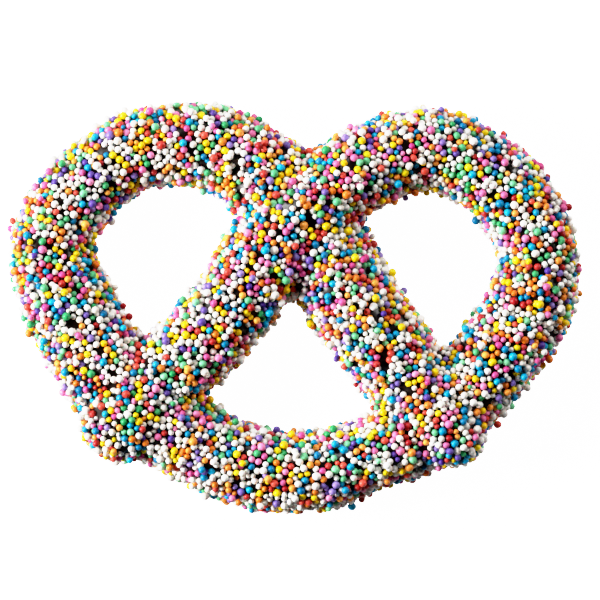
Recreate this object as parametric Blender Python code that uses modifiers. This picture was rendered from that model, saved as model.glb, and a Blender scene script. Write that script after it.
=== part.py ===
"""A pretzel dipped in dark chocolate and rolled in round sugar nonpareils, lying flat.

One rope of dough makes the whole form: it starts at the left foot, climbs over the crossing, goes
round the right loop, along the belly, round the left loop, under itself at the crossing and ends at
the right foot. Chocolate softens the creases where the rope touches itself. The nonpareils are
fused to the chocolate, spread evenly over it at their true size.

Units are metres, +Z is up, and the pretzel rests on z = 0 with its two loops towards +Y.
"""

import math

import bmesh
import bpy
import numpy as np
from mathutils import Quaternion, Vector

# Driving dimensions
SPAN = 0.084  # overall width, nonpareils included
ROPE_RADIUS = 0.0058  # the chocolate-covered rope where its girth is 1
REST_HEIGHT = 0.80 * ROPE_RADIUS  # the rope's centre over the table, so its underside is flattened
NONPAREIL_DIAMETER = 0.0010
NONPAREIL_SIZE_SPREAD = 0.05  # standard deviation, as a share of the diameter
NONPAREIL_SUNK = 0.42  # the share of a nonpareil's diameter that the chocolate holds
NONPAREIL_COUNT = 275
FACE_PER_NONPAREIL = 2.2e-6  # square metres, the smallest face of the core that takes one
SEED = 11

# The rope's route as (across, along, rise, girth): across and along are shares of half the span,
# rise is the centre's height over its resting height in rope radii, and girth scales the radius.
ROUTE = (
    (-0.600, -0.390, 0.34, 0.98),  # left foot, pressed on the belly
    (-0.455, -0.240, 0.25, 0.95),
    (-0.265, -0.055, 0.28, 0.98),
    (-0.065, 0.225, 0.58, 1.04),  # the crossing, on top
    (0.150, 0.430, 0.46, 1.01),
    (0.435, 0.550, 0.05, 0.97),  # top of the right loop
    (0.685, 0.470, 0.00, 0.96),
    (0.840, 0.260, 0.00, 0.93),  # right side
    (0.840, 0.030, 0.00, 0.97),
    (0.690, -0.195, 0.00, 1.03),
    (0.480, -0.410, 0.00, 0.94),  # right corner, under the right foot
    (0.250, -0.520, 0.00, 0.89),
    (-0.030, -0.580, 0.00, 0.94),  # the belly
    (-0.300, -0.495, 0.00, 0.98),
    (-0.580, -0.310, 0.00, 1.10),  # left corner, under the left foot
    (-0.765, -0.030, 0.00, 1.10),
    (-0.845, 0.220, 0.00, 1.01),  # left side
    (-0.725, 0.430, 0.00, 0.92),
    (-0.520, 0.560, 0.00, 0.94),  # top of the left loop
    (-0.235, 0.550, 0.00, 1.00),
    (0.005, 0.345, 0.02, 1.18),  # the crossing, underneath
    (0.190, 0.050, 0.00, 1.10),
    (0.378, -0.210, 0.10, 1.04),
    (0.537, -0.425, 0.32, 0.92),  # right foot, pressed on the belly
)
SAMPLES_PER_STRETCH = 10
END_DOME_SAMPLES = 6
END_DOME_CLOSED = 0.97  # how much of its quarter turn the dome makes, so its last ring isn't a point
ROPE_SIDES_RESOLUTION = 6

# Surface of the fused rope
CREASE_FILL = 0.0012  # radius of the chocolate that pools where the rope touches itself
WELD_DISTANCE = 0.00001
FUSE_VOXEL = 0.0005
SOFTENING_PASSES = 14
SOFTENING_STEP = 0.5
CORE_TRIANGLES = 2400
SHARP_ANGLE = math.radians(50)

# Colours as (red, green, blue), linear
CHOCOLATE = (0.022, 0.008, 0.005)
CHOCOLATE_ROUGHNESS = 0.35
SUGAR_ROUGHNESS = 0.45
# Each nonpareil colour with its share of the mix
SUGARS = {
    "white_sugar": ((0.86, 0.84, 0.80), 0.30),
    "pink_sugar": ((0.82, 0.14, 0.36), 0.13),
    "coral_sugar": ((0.74, 0.07, 0.05), 0.09),
    "orange_sugar": ((0.86, 0.26, 0.04), 0.11),
    "yellow_sugar": ((0.86, 0.61, 0.02), 0.09),
    "mint_sugar": ((0.17, 0.55, 0.28), 0.09),
    "blue_sugar": ((0.01, 0.33, 0.58), 0.10),
    "violet_sugar": ((0.20, 0.10, 0.48), 0.09),
}


def finish(name, colour, roughness):
    """A plain material with this colour and roughness."""
    material = bpy.data.materials.new(name)
    material.use_nodes = True
    shader = material.node_tree.nodes["Principled BSDF"]
    shader.inputs["Base Color"].default_value = (*colour, 1.0)
    shader.inputs["Roughness"].default_value = roughness
    shader.inputs["Metallic"].default_value = 0.0
    return material


def route_points():
    """The key points in metres, as rows of x, y, z and radius, fatter by what fills the creases."""
    keys = np.array(ROUTE)
    centre = keys[:, :2] * SPAN / 2
    height = REST_HEIGHT + keys[:, 2] * ROPE_RADIUS
    radius = keys[:, 3] * ROPE_RADIUS + CREASE_FILL
    return np.column_stack((centre, height, radius))


def end_dome(tip, inner):
    """Points past the tip whose radii follow a quarter circle."""
    direction = (tip[:3] - inner[:3]) / np.linalg.norm(tip[:3] - inner[:3])
    angle = np.linspace(0, END_DOME_CLOSED * math.pi / 2, END_DOME_SAMPLES + 1)[1:, None]
    centres = tip[:3] + direction * np.sin(angle) * tip[3]
    return np.hstack((centres, np.cos(angle) * tip[3]))


def smooth_route():
    """A Catmull-Rom curve through the key points, closed at both ends by a dome."""
    keys = route_points()
    padded = np.vstack((2 * keys[0] - keys[1], keys, 2 * keys[-1] - keys[-2]))
    share = np.linspace(0, 1, SAMPLES_PER_STRETCH, endpoint=False)[:, None]
    stretches = []
    for before, start, end, after in zip(padded, padded[1:], padded[2:], padded[3:]):
        linear = end - before
        square = 2 * before - 5 * start + 4 * end - after
        cube = 3 * (start - end) + after - before
        stretches.append(start + 0.5 * (linear * share + square * share**2 + cube * share**3))
    curve = np.vstack((*stretches, keys[-1:]))
    return np.vstack((end_dome(curve[0], curve[1])[::-1], curve, end_dome(curve[-1], curve[-2])))


def rope_tube(collection):
    """The rope as a round tube along its route, not yet fused where it crosses itself."""
    route = smooth_route()
    curve = bpy.data.curves.new("rope", "CURVE")
    curve.dimensions = "3D"
    curve.bevel_depth = 1.0
    curve.bevel_resolution = ROPE_SIDES_RESOLUTION
    curve.use_fill_caps = True
    spline = curve.splines.new("POLY")
    spline.points.add(len(route) - 1)
    for point, (x, y, z, radius) in zip(spline.points, route):
        point.co = (x, y, z, 1.0)
        point.radius = radius
    tube = bpy.data.objects.new("rope", curve)
    collection.objects.link(tube)
    return tube


def as_mesh(source, name, collection):
    """A mesh object with the source's evaluated shape, which takes the source's place."""
    evaluated = source.evaluated_get(bpy.context.evaluated_depsgraph_get())
    mesh = bpy.data.meshes.new_from_object(evaluated)
    mesh.name = name
    matrix = source.matrix_world.copy()
    bpy.data.objects.remove(source)
    made = bpy.data.objects.new(name, mesh)
    made.matrix_world = matrix
    collection.objects.link(made)
    return made


def weld_caps(tube):
    """Joins the tube's end caps to its sides."""
    bm = bmesh.new()
    bm.from_mesh(tube.data)
    bmesh.ops.remove_doubles(bm, verts=bm.verts, dist=WELD_DISTANCE)
    bm.to_mesh(tube.data)
    bm.free()


def fuse(rope):
    """Joins the fattened rope where it touches itself, then takes it in to its true girth.

    What stays between the strands is the chocolate that has pooled in the creases.
    """
    remesh = rope.modifiers.new("fuse", "REMESH")
    remesh.mode = "VOXEL"
    remesh.voxel_size = FUSE_VOXEL
    soften = rope.modifiers.new("soften", "SMOOTH")
    soften.factor = SOFTENING_STEP
    soften.iterations = SOFTENING_PASSES
    take_in = rope.modifiers.new("take in", "DISPLACE")
    take_in.mid_level = 0.0
    take_in.strength = -CREASE_FILL


def triangle_count(mesh):
    return sum(len(face.vertices) - 2 for face in mesh.polygons)


def thin_out(core):
    """Lowers the core to about CORE_TRIANGLES."""
    decimate = core.modifiers.new("thin out", "DECIMATE")
    decimate.ratio = CORE_TRIANGLES / triangle_count(core.data)


def flatten_underside(core, cutters):
    """Cuts off what reaches below the table, which leaves the flat that the pretzel rests on."""
    bm = bmesh.new()
    bmesh.ops.create_cube(bm, size=1.0)
    mesh = bpy.data.meshes.new("table")
    bm.to_mesh(mesh)
    bm.free()
    table = bpy.data.objects.new("table", mesh)
    table.scale = (2 * SPAN, 2 * SPAN, ROPE_RADIUS)
    table.location.z = -ROPE_RADIUS / 2
    table.hide_render = True
    table.display_type = "WIRE"
    cutters.objects.link(table)
    cut = core.modifiers.new("flat underside", "BOOLEAN")
    cut.operation = "DIFFERENCE"
    cut.object = table


def spread_evenly(core):
    """Places on the core as far apart as they can be, each with the surface's direction there.

    Each next place is the centre of the face furthest from all the places before it. The underside
    has none, and neither have the faces too small to hold a nonpareil.
    """
    mesh = core.data
    centres = np.empty(len(mesh.polygons) * 3)
    directions = np.empty(len(mesh.polygons) * 3)
    areas = np.empty(len(mesh.polygons))
    mesh.polygons.foreach_get("center", centres)
    mesh.polygons.foreach_get("normal", directions)
    mesh.polygons.foreach_get("area", areas)
    centres = centres.reshape(-1, 3)
    directions = directions.reshape(-1, 3)
    usable = (centres[:, 2] > NONPAREIL_DIAMETER) & (areas > FACE_PER_NONPAREIL)
    centres = centres[usable]
    directions = directions[usable]
    nearest = np.full(len(centres), np.inf)
    chosen = [int(np.argmax(centres[:, 0]))]
    while len(chosen) < NONPAREIL_COUNT:
        nearest = np.minimum(nearest, np.linalg.norm(centres - centres[chosen[-1]], axis=1))
        chosen.append(int(np.argmax(nearest)))
    return centres[chosen], directions[chosen]


def sugar_ball(material):
    """A ball of radius 1 with few sides and a corner at its top."""
    bm = bmesh.new()
    bmesh.ops.create_icosphere(bm, subdivisions=1, radius=1.0)
    mesh = bpy.data.meshes.new(material.name)
    bm.to_mesh(mesh)
    bm.free()
    mesh.materials.append(material)
    return mesh


def scatter_nonpareils(places, directions, toppings):
    """A sugar ball at each place, part sunk in the chocolate, its colour drawn by the mix."""
    rng = np.random.default_rng(SEED)
    balls = [sugar_ball(finish(name, colour, SUGAR_ROUGHNESS)) for name, (colour, _) in SUGARS.items()]
    shares = np.array([share for _, share in SUGARS.values()])
    kinds = rng.choice(len(balls), NONPAREIL_COUNT, p=shares / shares.sum())
    radii = rng.normal(1.0, NONPAREIL_SIZE_SPREAD, NONPAREIL_COUNT) * NONPAREIL_DIAMETER / 2
    twists = rng.uniform(0, math.tau, NONPAREIL_COUNT)
    for place, direction, kind, radius, twist in zip(places, directions, kinds, radii, twists):
        outward = Vector(direction)
        turn = outward.to_track_quat("Z", "Y") @ Quaternion((0, 0, 1), twist)
        ball = bpy.data.objects.new("nonpareil", balls[kind])
        ball.location = Vector(place) + outward * radius * (1 - 2 * NONPAREIL_SUNK)
        ball.rotation_euler = turn.to_euler()
        ball.scale = (radius, radius, radius)
        toppings.objects.link(ball)


def join_toppings(core, toppings):
    """Fuses every nonpareil to the core in one union."""
    join = core.modifiers.new("nonpareils", "BOOLEAN")
    join.operation = "UNION"
    join.operand_type = "COLLECTION"
    join.collection = toppings
    join.material_mode = "TRANSFER"


def keep_main_body(mesh):
    """Drops loose scraps, and fills any hollow that fusing has sealed by dropping its wall."""
    bm = bmesh.new()
    bm.from_mesh(mesh)
    unseen = set(bm.verts)
    bodies = []
    while unseen:
        body = [unseen.pop()]
        for corner in body:
            for edge in corner.link_edges:
                other = edge.other_vert(corner)
                if other in unseen:
                    unseen.remove(other)
                    body.append(other)
        bodies.append(body)
    bodies.sort(key=len)
    for scrap in bodies[:-1]:
        bmesh.ops.delete(bm, geom=scrap, context="VERTS")
    bm.to_mesh(mesh)
    bm.free()


def main():
    for leftover in list(bpy.data.objects):
        bpy.data.objects.remove(leftover)
    pretzel = bpy.data.collections.new("chocolate_covered_pretzel")
    cutters = bpy.data.collections.new("cutters")
    toppings = bpy.data.collections.new("toppings")
    for collection in (pretzel, cutters, toppings):
        bpy.context.scene.collection.children.link(collection)

    rope = as_mesh(rope_tube(pretzel), "rope", pretzel)
    weld_caps(rope)
    fuse(rope)
    core = as_mesh(rope, "core", pretzel)
    thin_out(core)
    core = as_mesh(core, "core", pretzel)
    flatten_underside(core, cutters)
    core = as_mesh(core, "core", pretzel)
    core.data.materials.clear()
    core.data.materials.append(finish("dark_chocolate", CHOCOLATE, CHOCOLATE_ROUGHNESS))

    places, directions = spread_evenly(core)
    scatter_nonpareils(places, directions, toppings)
    join_toppings(core, toppings)
    whole = as_mesh(core, "pretzel", pretzel)
    for ball in list(toppings.objects):
        bpy.data.objects.remove(ball)
    keep_main_body(whole.data)
    whole.data.shade_smooth()
    whole.data.set_sharp_from_angle(angle=SHARP_ANGLE)


main()
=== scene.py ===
import math
from itertools import combinations

import bpy
import numpy as np
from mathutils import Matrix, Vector
from mathutils.bvhtree import BVHTree
from mathutils.kdtree import KDTree


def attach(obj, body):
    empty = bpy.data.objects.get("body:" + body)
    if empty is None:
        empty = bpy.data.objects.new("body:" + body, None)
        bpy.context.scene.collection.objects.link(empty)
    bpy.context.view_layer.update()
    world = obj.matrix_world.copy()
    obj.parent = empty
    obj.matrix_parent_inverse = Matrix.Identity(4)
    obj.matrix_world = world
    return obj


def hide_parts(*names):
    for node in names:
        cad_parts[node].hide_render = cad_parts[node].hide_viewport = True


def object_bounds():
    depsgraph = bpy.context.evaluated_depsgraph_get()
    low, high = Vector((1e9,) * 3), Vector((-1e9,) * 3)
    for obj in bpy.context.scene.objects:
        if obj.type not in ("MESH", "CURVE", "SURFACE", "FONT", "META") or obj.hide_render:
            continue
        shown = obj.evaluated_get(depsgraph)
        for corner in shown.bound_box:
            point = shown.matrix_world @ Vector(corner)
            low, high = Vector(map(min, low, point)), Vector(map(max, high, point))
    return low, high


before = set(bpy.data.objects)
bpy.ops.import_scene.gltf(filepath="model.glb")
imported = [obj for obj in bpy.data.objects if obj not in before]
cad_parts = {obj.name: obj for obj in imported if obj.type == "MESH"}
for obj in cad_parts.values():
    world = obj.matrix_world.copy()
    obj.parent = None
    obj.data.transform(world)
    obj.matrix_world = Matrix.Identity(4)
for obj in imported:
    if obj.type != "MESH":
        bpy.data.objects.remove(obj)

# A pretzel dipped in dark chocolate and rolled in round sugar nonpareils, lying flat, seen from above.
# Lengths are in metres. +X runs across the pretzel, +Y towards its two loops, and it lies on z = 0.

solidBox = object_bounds()


def hexToLinear(colour):
    # sRGB hex to linear: below 0.04045 a share of 12.92, above it the power 2.4
    srgb = np.array([int(colour[k:k + 2], 16) / 255 for k in (1, 3, 5)])
    linear = np.where(srgb <= 0.04045, srgb / 12.92, ((srgb + 0.055) / 1.055) ** 2.4)
    return (*map(float, linear), 1.0)


# A Mix node has a socket of each name for every kind of value. These are the numbers of its colours.
mixFirst, mixSecond, mixResult = 6, 7, 2
noiseLow, noiseHigh = 0.3, 0.7      # nearly all values of a noise texture lie between these


def addNode(tree, kind, settings=None, inputs=None):
    # one node with its settings; an input takes a value, or the output of the node that feeds it
    node = tree.nodes.new(kind)
    for name, value in (settings or {}).items():
        setattr(node, name, value)
    for name, value in (inputs or {}).items():
        if isinstance(value, bpy.types.NodeSocket):
            tree.links.new(value, node.inputs[name])
        else:
            node.inputs[name].default_value = value
    return node


# The rope of dough. Its route is (across, along, rise, girth): across and along are shares of half the
# span, rise is the centre's height over its resting height in rope radii, girth scales the radius.
rope = {
    "span": 0.084,              # overall width, nonpareils included
    "radius": 0.00565,          # with its chocolate, where the girth is 1
    "restHeight": 0.80,         # centre over the table, in radii
    "creaseFill": 0.0012,       # radius of the chocolate that pools where strands touch
    "route": (
        (-0.600, -0.390, 0.34, 0.98),   # left foot, pressed on the belly
        (-0.455, -0.240, 0.25, 0.95),
        (-0.265, -0.055, 0.28, 0.98),
        (-0.065, 0.225, 0.47, 1.04),    # the crossing, on top
        (0.150, 0.430, 0.40, 1.01),
        (0.435, 0.550, 0.05, 0.97),     # top of the right loop
        (0.685, 0.470, 0.00, 0.96),
        (0.840, 0.260, 0.00, 0.93),     # right side
        (0.840, 0.030, 0.00, 0.97),
        (0.690, -0.195, 0.00, 1.03),
        (0.480, -0.410, 0.00, 0.94),    # right corner, under the right foot
        (0.250, -0.520, 0.00, 0.89),
        (-0.030, -0.580, 0.00, 0.94),   # the belly
        (-0.300, -0.495, 0.00, 0.98),
        (-0.580, -0.310, 0.00, 1.10),   # left corner, under the left foot
        (-0.765, -0.030, 0.00, 1.10),
        (-0.845, 0.220, 0.00, 1.01),    # left side
        (-0.725, 0.430, 0.00, 0.92),
        (-0.520, 0.560, 0.00, 0.94),    # top of the left loop
        (-0.235, 0.550, 0.00, 1.00),
        (0.005, 0.345, 0.16, 1.18),     # the crossing, underneath
        (0.190, 0.050, 0.20, 1.10),
        (0.378, -0.210, 0.14, 1.04),
        (0.537, -0.425, 0.32, 0.92),    # right foot, pressed on the belly
    ),
    "stepsPerStretch": 12,
    "domeSteps": 8,
    "domeClosed": 0.97,         # share of its quarter turn that an end's dome makes
    "sides": 32,
    "voxel": 0.0005,
    "softenPasses": 14,
    "softenStep": 0.5,          # how far each pass takes a point to the middle of its neighbours
    "lumps": ((0.00016, 0.0110), (0.00012, 0.0060), (0.00005, 0.0025)),   # each (height, wavelength)
    "lumpWaves": 5,             # waves in random directions for each wavelength
    "footHeight": 0.00013,      # the flat underside over the table, where nonpareils are pressed in
    "seed": 3,
}


def catmullRom(keys, steps):
    # a cubic through each pair of keys, whose slope at a key is half the way between its neighbours
    padded = np.vstack((2 * keys[0] - keys[1], keys, 2 * keys[-1] - keys[-2]))
    before, start, end, after = (padded[k:len(padded) - 3 + k, None, :] for k in range(4))
    share = np.linspace(0, 1, steps, endpoint=False)[None, :, None]
    linear = end - before
    square = 2 * before - 5 * start + 4 * end - after
    cube = 3 * (start - end) + after - before
    curve = start + 0.5 * (linear * share + square * share**2 + cube * share**3)
    return np.vstack((curve.reshape(-1, keys.shape[1]), keys[-1:]))


def endDome(tip, inner):
    # points past the tip: along by the sine of an angle, with the radius falling by its cosine
    ahead = (tip[:3] - inner[:3]) / np.linalg.norm(tip[:3] - inner[:3])
    angle = np.linspace(0, rope["domeClosed"] * math.pi / 2, rope["domeSteps"] + 1)[1:, None]
    return np.hstack((tip[:3] + ahead * np.sin(angle) * tip[3], np.cos(angle) * tip[3]))


def ropePath():
    # rows of x, y, z and radius along the rope, fatter by what fills the creases
    keys = np.array(rope["route"])
    radius = rope["radius"]
    places = keys[:, :2] * rope["span"] / 2
    heights = (rope["restHeight"] + keys[:, 2]) * radius
    girths = keys[:, 3] * radius + rope["creaseFill"]
    curve = catmullRom(np.column_stack((places, heights, girths)), rope["stepsPerStretch"])
    return np.vstack((endDome(curve[0], curve[1])[::-1], curve, endDome(curve[-1], curve[-2])))


def tubeAlong(path, sides):
    # P(u, v) = centre(u) + radius(u) * (cos v * side(u) + sin v * over(u)), with side level and square
    # to the path, and over square to both; a point closes each end
    centre, radius = path[:, :3], path[:, 3]
    ahead = np.gradient(centre, axis=0)
    ahead /= np.linalg.norm(ahead, axis=1, keepdims=True)
    side = np.cross(ahead, (0.0, 0.0, 1.0))
    side /= np.linalg.norm(side, axis=1, keepdims=True)
    over = np.cross(side, ahead)
    turn = np.linspace(0, math.tau, sides, endpoint=False)[None, :, None]
    ring = np.cos(turn) * side[:, None] + np.sin(turn) * over[:, None]
    points = (centre[:, None] + radius[:, None, None] * ring).reshape(-1, 3)
    row, column = np.meshgrid(np.arange(len(path) - 1), np.arange(sides), indexing="ij")
    beside = (column + 1) % sides
    quads = np.stack((row * sides + column, row * sides + beside,
                      (row + 1) * sides + beside, (row + 1) * sides + column), axis=-1).reshape(-1, 4)
    around = np.arange(sides)
    first, last = len(points), len(points) + 1
    lastRing = (len(path) - 1) * sides
    startFan = np.column_stack((np.full(sides, first), (around + 1) % sides, around))
    endFan = np.column_stack((np.full(sides, last), lastRing + around, lastRing + (around + 1) % sides))
    points = np.vstack((points, centre[0], centre[-1]))
    return points, [*quads.tolist(), *startFan.tolist(), *endFan.tolist()]


def newPiece(name, mesh):
    piece = bpy.data.objects.new(name, mesh)
    bpy.context.scene.collection.objects.link(piece)
    return piece


def evaluatedMesh(piece):
    # a plain mesh of the piece as its modifiers leave it
    seen = piece.evaluated_get(bpy.context.evaluated_depsgraph_get())
    return bpy.data.meshes.new_from_object(seen)


def meshPoints(mesh, normals=False):
    values = np.empty(len(mesh.vertices) * 3)
    mesh.vertices.foreach_get("normal" if normals else "co", values)
    return values.reshape(-1, 3)


def unevenness(points, layers, waves, rng):
    # the sum of height * sin(2 pi * distance / wavelength), over each layer's waves in random
    # directions, with the height shared among them by the root of their number
    total = np.zeros(len(points))
    for height, wavelength in layers:
        directions = rng.normal(size=(waves, 3))
        directions /= np.linalg.norm(directions, axis=1, keepdims=True)
        phases = rng.uniform(0, math.tau, waves)
        angles = points @ directions.T * math.tau / wavelength + phases
        total += height / math.sqrt(waves) * np.sin(angles).sum(axis=1)
    return total


def makeChocolate():
    # the tube is fused where it meets itself, softened, taken in to its true girth, made a little
    # uneven along its normals, and set flat where it lies
    mesh = bpy.data.meshes.new("rope")
    points, faces = tubeAlong(ropePath(), rope["sides"])
    mesh.from_pydata(points.tolist(), [], faces)
    fused = newPiece("rope", mesh)
    remesh = fused.modifiers.new("fuse", "REMESH")
    remesh.mode = "VOXEL"
    remesh.voxel_size = rope["voxel"]
    soften = fused.modifiers.new("soften", "SMOOTH")
    soften.factor = rope["softenStep"]
    soften.iterations = rope["softenPasses"]
    coat = evaluatedMesh(fused)
    bpy.data.objects.remove(fused)
    points = meshPoints(coat)
    normals = meshPoints(coat, normals=True)
    rng = np.random.default_rng(rope["seed"])
    lumps = unevenness(points, rope["lumps"], rope["lumpWaves"], rng)
    points += normals * (lumps - rope["creaseFill"])[:, None]
    points[:, 2] = np.maximum(points[:, 2], rope["footHeight"])
    coat.vertices.foreach_set("co", points.ravel())
    coat.update()
    coat.shade_smooth()
    coat.name = "chocolate"
    return newPiece("chocolate", coat)


# The nonpareils, and how they sit in and on the chocolate
nonpareil = {
    "diameter": 0.00099,
    "spread": 0.14,             # standard deviation of the diameter, as a share
    "smallest": 0.68,
    "largest": 1.32,
    "outOfRound": 0.04,         # standard deviation of each axis, as a share
    "mostOutOfRound": 0.10,
    "sunk": 0.24,               # share of the diameter in the chocolate
    "sunkSpread": 0.15,
    "leastSunk": 0.10,
    "mostSunk": 0.70,
    "candidates": 120000,       # places tried
    "gapCandidates": 60000,     # and tried again in the gaps, once the first have settled
    "spacing": 0.73,            # least distance between two before they settle, in diameters
    "touch": 1.01,              # distance at which two press on each other, in sums of their radii
    "leastDistance": 1e-9,      # taken between two centres, so that nothing is divided by nought
    "settlePasses": 60,
    "passesPerSearch": 5,
    "searchReach": 1.7,         # how far apart neighbours are looked for, in diameters
    "hold": 0.97,               # share of its rise that one keeps in each pass
    "rise": 0.85,               # how far crowding may lift one, in diameters
    "mostOverlap": 0.15,        # as a share of two radii, before the upper one falls off
    "gapFit": 0.95,             # least distance of one that fills a gap from the others, in diameters
    "missing": 0.025,           # share that fell off again
    "loose": 0.45,              # share of them that another may lie on
    "looseSunk": 0.05,          # share of its height over them that chocolate draws it down
    "looseSpacing": 1.05,       # between two loose ones, in diameters
    "pocket": 0.72,             # widest pocket that still holds one: its reach over the sum of two radii
    "bareSpot": (0.0021, 0.0126, 0.0007),   # x, y and radius of the small bare spot at the crossing
    "overTheTop": 0.0004,       # how far one may reach above the solid model
    "pastTheSides": 0.0007,     # and how far past its sides
    "seed": 11,
    "mixSeed": 12,              # for colours, batches and turns
}


def surfacePoints(mesh, count, rng):
    # points spread by area: a triangle drawn by its area, and in it a place by two square-root shares
    mesh.calc_loop_triangles()
    corners = np.empty(len(mesh.loop_triangles) * 3, dtype=np.int32)
    mesh.loop_triangles.foreach_get("vertices", corners)
    a, b, c = meshPoints(mesh)[corners.reshape(-1, 3)].transpose(1, 0, 2)
    area = np.linalg.norm(np.cross(b - a, c - a), axis=1) / 2
    drawn = rng.choice(len(area), count, p=area / area.sum())
    root = np.sqrt(rng.random(count))[:, None]
    part = rng.random(count)[:, None]
    return a[drawn] * (1 - root) + b[drawn] * root * (1 - part) + c[drawn] * root * part


def treeOf(places):
    tree = KDTree(len(places))
    for k, place in enumerate(places):
        tree.insert(place, k)
    tree.balance()
    return tree


def pickApart(places, distance):
    # takes the places in turn, and each one taken rules out all those nearer to it than the distance
    tree = treeOf(places)
    free = np.ones(len(places), dtype=bool)
    taken = []
    for k, place in enumerate(places):
        if free[k]:
            taken.append(k)
            free[[near for _, near, _ in tree.find_range(place, distance)]] = False
    return taken


def neighbourPairs(places, reach):
    tree = treeOf(places)
    pairs = [(k, near) for k, place in enumerate(places)
             for _, near, _ in tree.find_range(place, reach) if near > k]
    return np.array(pairs).T


def footOn(surface, places):
    # the nearest point of the chocolate to each place, and which way is out there
    hits = [surface.find_nearest(place)[:2] for place in places]
    return np.array([hit[0] for hit in hits]), np.array([hit[1] for hit in hits])


def settle(places, radii, depths, surface):
    # Each pass parts every pair that presses on each other, by half its overlap each way. Each centre
    # is then drawn back a little towards its own depth over the nearest chocolate, and stays between
    # that and as far above it as crowding may lift it. None goes through the table.
    highest = depths + nonpareil["rise"] * 2 * radii
    for step in range(nonpareil["settlePasses"]):
        if step % nonpareil["passesPerSearch"] == 0:
            one, other = neighbourPairs(places, nonpareil["searchReach"] * nonpareil["diameter"])
        gap = places[other] - places[one]
        distance = np.linalg.norm(gap, axis=1)
        overlap = np.maximum((radii[one] + radii[other]) * nonpareil["touch"] - distance, 0)
        push = gap * (overlap / np.maximum(distance, nonpareil["leastDistance"]) / 2)[:, None]
        moved = places.copy()
        np.add.at(moved, other, push)
        np.add.at(moved, one, -push)
        foot, out = footOn(surface, moved)
        height = np.einsum("ij,ij->i", moved - foot, out)
        height = np.clip(depths + (height - depths) * nonpareil["hold"], depths, highest)
        places = foot + out * height[:, None]
        places[:, 2] = np.maximum(places[:, 2], radii)
    return places, height - depths


def fallenOff(places, radii, rank):
    # of each pair that still overlaps too far, the one of the higher rank: the one that crowding has
    # lifted more, or that was laid later
    one, other = neighbourPairs(places, nonpareil["searchReach"] * nonpareil["diameter"])
    sums = radii[one] + radii[other]
    distance = np.linalg.norm(places[one] - places[other], axis=1)
    deep = distance < sums * (1 - nonpareil["mostOverlap"])
    fallen = np.zeros(len(places), dtype=bool)
    fallen[np.where(rank[one] > rank[other], one, other)[deep]] = True
    return fallen


def sizesOf(count, rng):
    # radii, and how high each centre lies over the chocolate
    sizes = rng.normal(1, nonpareil["spread"], count).clip(nonpareil["smallest"], nonpareil["largest"])
    sunk = rng.normal(nonpareil["sunk"], nonpareil["sunkSpread"], count)
    radii = sizes * nonpareil["diameter"] / 2
    return radii, radii * (1 - 2 * sunk.clip(nonpareil["leastSunk"], nonpareil["mostSunk"]))


def fillGaps(places, radii, core, surface, rng):
    # more of them, wherever one still fits on the chocolate between its neighbours
    fit = nonpareil["gapFit"] * nonpareil["diameter"]
    foot, out = footOn(surface, surfacePoints(core.data, nonpareil["gapCandidates"], rng))
    moreRadii, depths = sizesOf(len(foot), rng)
    more = foot + out * depths[:, None]
    more[:, 2] = np.maximum(more[:, 2], moreRadii)
    tree = treeOf(places)
    clear = np.array([tree.find(place)[2] for place in more]) > fit
    more, moreRadii = more[clear], moreRadii[clear]
    kept = pickApart(more, fit)
    print(len(kept), "more in the gaps")
    return np.vstack((places, more[kept])), np.concatenate((radii, moreRadii[kept]))


def layOnTop(places, radii, surface, rng):
    # A loose one lies in the pocket of three that are near each other: over their middle, as high as it
    # touches them. It keeps clear of the other loose ones, and of the table.
    tree = treeOf(places)
    starts = rng.choice(len(places), int(len(places) * nonpareil["loose"]), replace=False)
    trios = np.array([[near for _, near, _ in tree.find_n(places[k], 3)] for k in starts])
    middle = places[trios].mean(axis=1)
    reach = np.linalg.norm(places[trios] - middle[:, None], axis=2).mean(axis=1)
    looseRadii = rng.permutation(radii)[:len(starts)]
    touching = looseRadii + radii[trios].mean(axis=1)
    rise = np.sqrt(np.maximum(touching**2 - reach**2, 0)) * (1 - nonpareil["looseSunk"])
    _, out = footOn(surface, middle)
    loose = middle + out * rise[:, None]
    held = (reach < nonpareil["pocket"] * touching) & (loose[:, 2] > nonpareil["diameter"])
    kept = pickApart(loose[held], nonpareil["diameter"] * nonpareil["looseSpacing"])
    return loose[held][kept], looseRadii[held][kept]


def outOfBounds(places, radii):
    # those in the small bare spot on the upper side, and those that reach too far past the solid model
    x, y, bare = nonpareil["bareSpot"]
    out = (np.hypot(places[:, 0] - x, places[:, 1] - y) < bare) & (places[:, 2] > rope["radius"])
    low, high = (np.array(corner)[:2] for corner in solidBox)
    past = np.maximum(low - places[:, :2], places[:, :2] - high) + radii[:, None]
    out |= (past > nonpareil["pastTheSides"]).any(axis=1)
    return out | (places[:, 2] + radii > solidBox[1].z + nonpareil["overTheTop"])


def placeNonpareils(core):
    # stuck ones first, then more in the gaps, then loose ones on top, and a few fall off again
    rng = np.random.default_rng(nonpareil["seed"])
    surface = BVHTree.FromObject(core, bpy.context.evaluated_depsgraph_get())
    places = surfacePoints(core.data, nonpareil["candidates"], rng)
    places = places[pickApart(places, nonpareil["spacing"] * nonpareil["diameter"])]
    radii, depths = sizesOf(len(places), rng)
    places, lifted = settle(places, radii, depths, surface)
    stuck = ~fallenOff(places, radii, lifted)
    print(len(places), "nonpareils placed,", int(stuck.sum()), "of them stuck")
    places, radii = fillGaps(places[stuck], radii[stuck], core, surface, rng)

    count = len(places)
    loose, looseRadii = layOnTop(places, radii, surface, rng)
    places, radii = np.vstack((places, loose)), np.concatenate((radii, looseRadii))
    lost = fallenOff(places, radii, np.arange(len(places))) | outOfBounds(places, radii)
    lost |= rng.random(len(places)) < nonpareil["missing"]
    print(int((~lost[count:]).sum()), "on top of others,", int((~lost).sum()), "in all")
    return places[~lost], radii[~lost]


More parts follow.
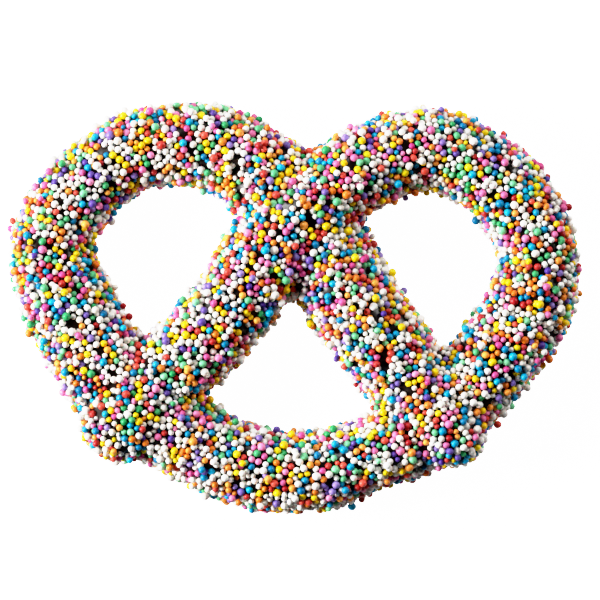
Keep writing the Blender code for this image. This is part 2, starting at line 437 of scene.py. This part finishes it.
def sugarBall():
    # 60 nearly equal faces: an icosahedron's corners, which are 0, 1 and the golden ratio in turn along
    # the three axes and with either sign, and the middle of each of its faces raised to the ball
    golden = (1 + math.sqrt(5)) / 2
    corners = np.array([(0, 1, golden), (0, -1, golden), (0, 1, -golden), (0, -1, -golden),
                        (1, golden, 0), (-1, golden, 0), (1, -golden, 0), (-1, -golden, 0),
                        (golden, 0, 1), (golden, 0, -1), (-golden, 0, 1), (-golden, 0, -1)])
    edge = 2.0                  # distance of neighbouring corners
    joined = np.isclose(np.linalg.norm(corners[:, None] - corners[None], axis=2), edge)
    trios = [(a, b, c) for a, b, c in combinations(range(len(corners)), 3)
             if joined[a, b] and joined[b, c] and joined[a, c]]
    trios = [(a, b, c) if np.linalg.det(corners[[a, b, c]]) > 0 else (a, c, b) for a, b, c in trios]
    points = np.vstack((corners, corners[np.array(trios)].mean(axis=1)))
    points /= np.linalg.norm(points, axis=1, keepdims=True)
    faces = [(a, b, len(corners) + k)
             for k, trio in enumerate(trios) for a, b in zip(trio, trio[1:] + trio[:1])]
    return points, np.array(faces)


def turnsOf(count, rng):
    # random turns as matrices, from unit quaternions
    quaternions = rng.normal(size=(count, 4))
    w, x, y, z = (quaternions / np.linalg.norm(quaternions, axis=1, keepdims=True)).T
    rows = ((1 - 2 * (y * y + z * z), 2 * (x * y - w * z), 2 * (x * z + w * y)),
            (2 * (x * y + w * z), 1 - 2 * (x * x + z * z), 2 * (y * z - w * x)),
            (2 * (x * z - w * y), 2 * (y * z + w * x), 1 - 2 * (x * x + y * y)))
    return np.array(rows).transpose(2, 0, 1)


def ballsMesh(name, places, radii, rng):
    # Every ball is the same few faces, stretched a little along its own axes, turned and put in place.
    # One that would reach through the table is raised. Each has a random value for its batch of dye.
    ball, faces = sugarBall()
    count = len(places)
    most = nonpareil["mostOutOfRound"]
    stretch = rng.normal(1, nonpareil["outOfRound"], (count, 1, 3)).clip(1 - most, 1 + most)
    turned = np.einsum("kij,kpj->kpi", turnsOf(count, rng), ball[None] * stretch)
    points = places[:, None] + turned * radii[:, None, None]
    low = points[:, :, 2].min(axis=1)
    points[:, :, 2] += np.maximum(-low, 0)[:, None]
    corners = faces[None] + (np.arange(count) * len(ball))[:, None, None]
    mesh = bpy.data.meshes.new(name)
    mesh.vertices.add(count * len(ball))
    mesh.vertices.foreach_set("co", points.ravel())
    mesh.loops.add(corners.size)
    mesh.loops.foreach_set("vertex_index", corners.ravel().astype(np.int32))
    mesh.polygons.add(count * len(faces))
    mesh.polygons.foreach_set("loop_start", np.arange(0, corners.size, 3, dtype=np.int32))
    mesh.polygons.foreach_set("loop_total", np.full(count * len(faces), 3, dtype=np.int32))
    batch = mesh.attributes.new("batch", "FLOAT", "POINT")
    batch.data.foreach_set("value", np.repeat(rng.random(count), len(ball)).astype(np.float32))
    mesh.update(calc_edges=True)
    mesh.validate()
    mesh.shade_smooth()
    return mesh


# The sugar's colours: share of the mix, the two shades between which its batches vary, and the slot
sugars = {
    "white": {"share": 0.25, "shades": ("#F8F5F0", "#E8E4DE"), "slot": "white_sugar"},
    "ivory": {"share": 0.19, "shades": ("#F4EEE4", "#DCD6CD"), "slot": "white_sugar"},
    "pink": {"share": 0.11, "shades": ("#FA90BE", "#CC3A82"), "slot": "pink_sugar"},
    "coral": {"share": 0.07, "shades": ("#E85444", "#9E1A22"), "slot": "coral_sugar"},
    "orange": {"share": 0.11, "shades": ("#FFA84A", "#E26E20"), "slot": "orange_sugar"},
    "yellow": {"share": 0.095, "shades": ("#FFE018", "#F0BC10"), "slot": "yellow_sugar"},
    "mint": {"share": 0.085, "shades": ("#86DCA4", "#229654"), "slot": "mint_sugar"},
    "blue": {"share": 0.095, "shades": ("#0AA8D6", "#0A6A9C"), "slot": "blue_sugar"},
    "violet": {"share": 0.06, "shades": ("#9680C8", "#4A2E8C"), "slot": "violet_sugar"},
}
clumped = 0.03      # share of the nonpareils that stuck to one of their own colour

glaze = {
    "roughness": 0.32,
    "ior": 1.50,
    "specular": 0.30,           # the glaze reflects a little less than clear sugar
    "mottleSize": 0.00035,      # patches where the dye took unevenly
    "mottle": 0.10,
    "grainSize": 0.00012,       # sugar grains under the glaze, drawn a little coarse so that they show
    "grainHeight": 0.000006,
    "grainStrength": 0.5,
    "scatter": 0.08,            # share of the light that passes under the glaze
    "scatterDepth": 0.0003,
}


def mixColours(places, rng):
    # each takes a colour by its share, and then a few take the colour of their nearest neighbour
    shares = np.array([sugar["share"] for sugar in sugars.values()])
    kinds = rng.choice(len(sugars), len(places), p=shares / shares.sum())
    tree = treeOf(places)
    for k in rng.choice(len(places), int(len(places) * clumped), replace=False):
        kinds[k] = kinds[tree.find_n(places[k], 2)[1][1]]
    return kinds


def glazedSugar(name, shades):
    # confectioner's glazed sugar: hard panned sugar under a thin shellac glaze, which gives a smooth
    # satin ball with a small highlight, a little light passing through, and dye that took unevenly
    material = bpy.data.materials.new(name)
    material.use_nodes = True
    tree = material.node_tree
    tree.nodes.clear()
    batch = addNode(tree, "ShaderNodeAttribute", {"attribute_name": "batch"})
    place = addNode(tree, "ShaderNodeTexCoord")
    patches = addNode(tree, "ShaderNodeTexNoise", inputs={
        "Vector": place.outputs["Object"], "Scale": 1 / glaze["mottleSize"], "Detail": 2.0})
    light, deep = map(hexToLinear, shades)
    between = addNode(tree, "ShaderNodeMix", {"data_type": "RGBA"}, {
        "Factor": batch.outputs["Fac"], mixFirst: light, mixSecond: deep})
    paler = addNode(tree, "ShaderNodeMapRange", inputs={
        "Value": patches.outputs["Fac"], "From Min": noiseLow, "From Max": noiseHigh,
        "To Min": 1 - glaze["mottle"], "To Max": 1 + glaze["mottle"]})
    dyed = addNode(tree, "ShaderNodeHueSaturation", inputs={
        "Color": between.outputs[mixResult], "Value": paler.outputs["Result"]})
    grains = addNode(tree, "ShaderNodeTexNoise", inputs={
        "Vector": place.outputs["Object"], "Scale": 1 / glaze["grainSize"], "Detail": 3.0})
    bump = addNode(tree, "ShaderNodeBump", inputs={
        "Height": grains.outputs["Fac"], "Strength": glaze["grainStrength"],
        "Distance": glaze["grainHeight"]})
    shader = addNode(tree, "ShaderNodeBsdfPrincipled", inputs={
        "Base Color": dyed.outputs["Color"], "Normal": bump.outputs["Normal"],
        "Roughness": glaze["roughness"], "IOR": glaze["ior"],
        "Specular IOR Level": glaze["specular"],
        "Subsurface Weight": glaze["scatter"], "Subsurface Scale": glaze["scatterDepth"]})
    addNode(tree, "ShaderNodeOutputMaterial", inputs={"Surface": shader.outputs["BSDF"]})
    return material


couverture = {
    "shades": ("#1A0B06", "#0E0503"),
    "bloomSize": 0.0016,        # patches where the cocoa butter set duller
    "roughness": (0.26, 0.38),
    "ior": 1.46,
    "rippleSize": 0.0009,
    "rippleHeight": 0.00004,
    "rippleStrength": 0.6,
}


def darkCouverture():
    # dark couverture chocolate, dipped and set: nearly black brown with a satin gloss, faint ripples
    # from the dip, and duller patches where its cocoa butter set unevenly
    material = bpy.data.materials.new("darkCouvertureChocolate")
    material.use_nodes = True
    tree = material.node_tree
    tree.nodes.clear()
    place = addNode(tree, "ShaderNodeTexCoord")
    patches = addNode(tree, "ShaderNodeTexNoise", inputs={
        "Vector": place.outputs["Object"], "Scale": 1 / couverture["bloomSize"], "Detail": 4.0})
    light, deep = map(hexToLinear, couverture["shades"])
    brown = addNode(tree, "ShaderNodeMix", {"data_type": "RGBA"}, {
        "Factor": patches.outputs["Fac"], mixFirst: light, mixSecond: deep})
    sheen = addNode(tree, "ShaderNodeMapRange", inputs={
        "Value": patches.outputs["Fac"], "From Min": noiseLow, "From Max": noiseHigh,
        "To Min": couverture["roughness"][0], "To Max": couverture["roughness"][1]})
    ripples = addNode(tree, "ShaderNodeTexNoise", inputs={
        "Vector": place.outputs["Object"], "Scale": 1 / couverture["rippleSize"], "Detail": 2.0})
    bump = addNode(tree, "ShaderNodeBump", inputs={
        "Height": ripples.outputs["Fac"], "Strength": couverture["rippleStrength"],
        "Distance": couverture["rippleHeight"]})
    shader = addNode(tree, "ShaderNodeBsdfPrincipled", inputs={
        "Base Color": brown.outputs[mixResult], "Roughness": sheen.outputs["Result"],
        "Normal": bump.outputs["Normal"], "IOR": couverture["ior"]})
    addNode(tree, "ShaderNodeOutputMaterial", inputs={"Surface": shader.outputs["BSDF"]})
    return material


# The view, as in the photo: straight down on the lying pretzel, nearly filling a square frame
view = {
    "centre": (0.00096, 0.00118),   # what is under the middle of the frame
    "width": 0.0883,                # what the frame spans, at the height of the outline
    "outlineHeight": 0.0052,
    "lens": 200.0,
    "sensor": 36.0,
    "clipStart": 0.01,
}


def makeCamera():
    # as far up as makes the frame span its width
    distance = view["width"] * view["lens"] / view["sensor"]
    data = bpy.data.cameras.new("camera")
    data.lens = view["lens"]
    data.sensor_width = view["sensor"]
    data.clip_start = view["clipStart"]
    camera = bpy.data.objects.new("camera", data)
    camera.location = (*view["centre"], view["outlineHeight"] + distance)
    bpy.context.scene.collection.objects.link(camera)
    bpy.context.scene.camera = camera


# The studio. Each soft light: azimuth and elevation in degrees as seen from the pretzel, then its
# distance and size in metres and its power in watts.
studio = {
    "lights": {
        "key": (180, 26, 0.6, 0.20, 10.4),
        "upper": (110, 32, 0.6, 0.20, 2.2),
        "upperRight": (32, 25, 0.6, 0.20, 2.5),
        "table": (0, -90, 0.002, 0.50, 0.62),   # under the opal sheet, shining up through it
    },
    "floorSize": 2.0,
    "floorColour": "#F4F4F4",
    "floorRoughness": 0.9,
    "floorSpecular": 0.1,
    "floorGlow": 3.0,
}


def softLight(name, azimuth, elevation, distance, size, power):
    # a round soft box turned to the pretzel
    data = bpy.data.lights.new(name, "AREA")
    data.shape = "DISK"
    data.size = size
    data.energy = power
    light = bpy.data.objects.new(name, data)
    around, up = math.radians(azimuth), math.radians(elevation)
    toLight = Vector((math.cos(up) * math.cos(around), math.cos(up) * math.sin(around), math.sin(up)))
    light.location = toLight * distance
    light.rotation_euler = toLight.to_track_quat("Z", "Y").to_euler()
    bpy.context.scene.collection.objects.link(light)


def paleFloor():
    # A sheet of matt opal acrylic on a light table. Its glow is only seen: what it gives the pretzel
    # comes from the light under it, which it lets through.
    half = studio["floorSize"] / 2
    mesh = bpy.data.meshes.new("floor")
    corners = [(-half, -half, 0), (half, -half, 0), (half, half, 0), (-half, half, 0)]
    mesh.from_pydata(corners, [], [(0, 1, 2, 3)])
    floor = newPiece("floor", mesh)
    material = bpy.data.materials.new("opalAcrylic")
    material.use_nodes = True
    tree = material.node_tree
    tree.nodes.clear()
    shader = addNode(tree, "ShaderNodeBsdfPrincipled", inputs={
        "Base Color": hexToLinear(studio["floorColour"]), "Roughness": studio["floorRoughness"],
        "Specular IOR Level": studio["floorSpecular"],
        "Emission Color": (1.0, 1.0, 1.0, 1.0), "Emission Strength": studio["floorGlow"]})
    addNode(tree, "ShaderNodeOutputMaterial", inputs={"Surface": shader.outputs["BSDF"]})
    mesh.materials.append(material)
    floor.visible_diffuse = False
    floor.visible_glossy = False
    floor.visible_shadow = False


def darkRoom():
    # no light but the soft boxes' own
    world = bpy.data.worlds.new("studio")
    world.use_nodes = True
    tree = world.node_tree
    tree.nodes.clear()
    around = addNode(tree, "ShaderNodeBackground", inputs={"Strength": 0.0})
    addNode(tree, "ShaderNodeOutputWorld", inputs={"Surface": around.outputs["Background"]})
    bpy.context.scene.world = world


# How the photo's tones run: the blacks sink a little, and the whites roll off instead of burning out
tones = {
    "toe": 0.012,
    "shoulder": 0.70,           # where the whites begin to roll off
    "white": 4.0,               # the light that comes out as plain white
    "points": 24,
}


def photoTones():
    # Under two toes, light squared over four toes; over that, light less the toe. The room is what one
    # has over the shoulder, and past the shoulder comes one less the room squared, over the room and
    # what goes past the shoulder. The points stand closest where it is darkest.
    light = tones["white"] * np.linspace(0, 1, tones["points"]) ** 2
    toe, shoulder = tones["toe"], tones["shoulder"]
    room = 1 - shoulder
    sunk = np.where(light < 2 * toe, light**2 / (4 * toe), light - toe)
    rolled = 1 - room**2 / (room + np.maximum(sunk - shoulder, 0))
    shown = np.where(sunk < shoulder, sunk, rolled)
    shown /= shown[-1]
    settings = bpy.context.scene.view_settings
    settings.view_transform = "Standard"
    settings.use_curve_mapping = True
    mapping = settings.curve_mapping
    mapping.clip_max_x = tones["white"]
    curve = mapping.curves[3]   # the one for all colours
    curve.points[1].location = (light[-1], shown[-1])
    for x, y in zip(light[1:-1], shown[1:-1]):
        curve.points.new(x, y)
    for point in curve.points:
        point.handle_type = "AUTO_CLAMPED"
    mapping.update()


makeCamera()
print("camera made")

chocolate = makeChocolate()
chocolate.data.materials.append(darkCouverture())
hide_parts("pretzel")
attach(chocolate, "root")
print("chocolate made,", len(chocolate.data.polygons), "faces")

places, radii = placeNonpareils(chocolate)
mixRng = np.random.default_rng(nonpareil["mixSeed"])
kinds = mixColours(places, mixRng)
for kind, (colour, sugar) in enumerate(sugars.items()):
    ofKind = kinds == kind
    name = f"{colour}Nonpareils"
    balls = newPiece(name, ballsMesh(name, places[ofKind], radii[ofKind], mixRng))
    balls.data.materials.append(glazedSugar(f"{colour}GlazedSugar", sugar["shades"]))
    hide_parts("pretzel")
    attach(balls, "root")
    print(name, int(ofKind.sum()))

for name, (azimuth, elevation, distance, size, power) in studio["lights"].items():
    softLight(name, azimuth, elevation, distance, size, power)
paleFloor()
darkRoom()
photoTones()
print("studio made")
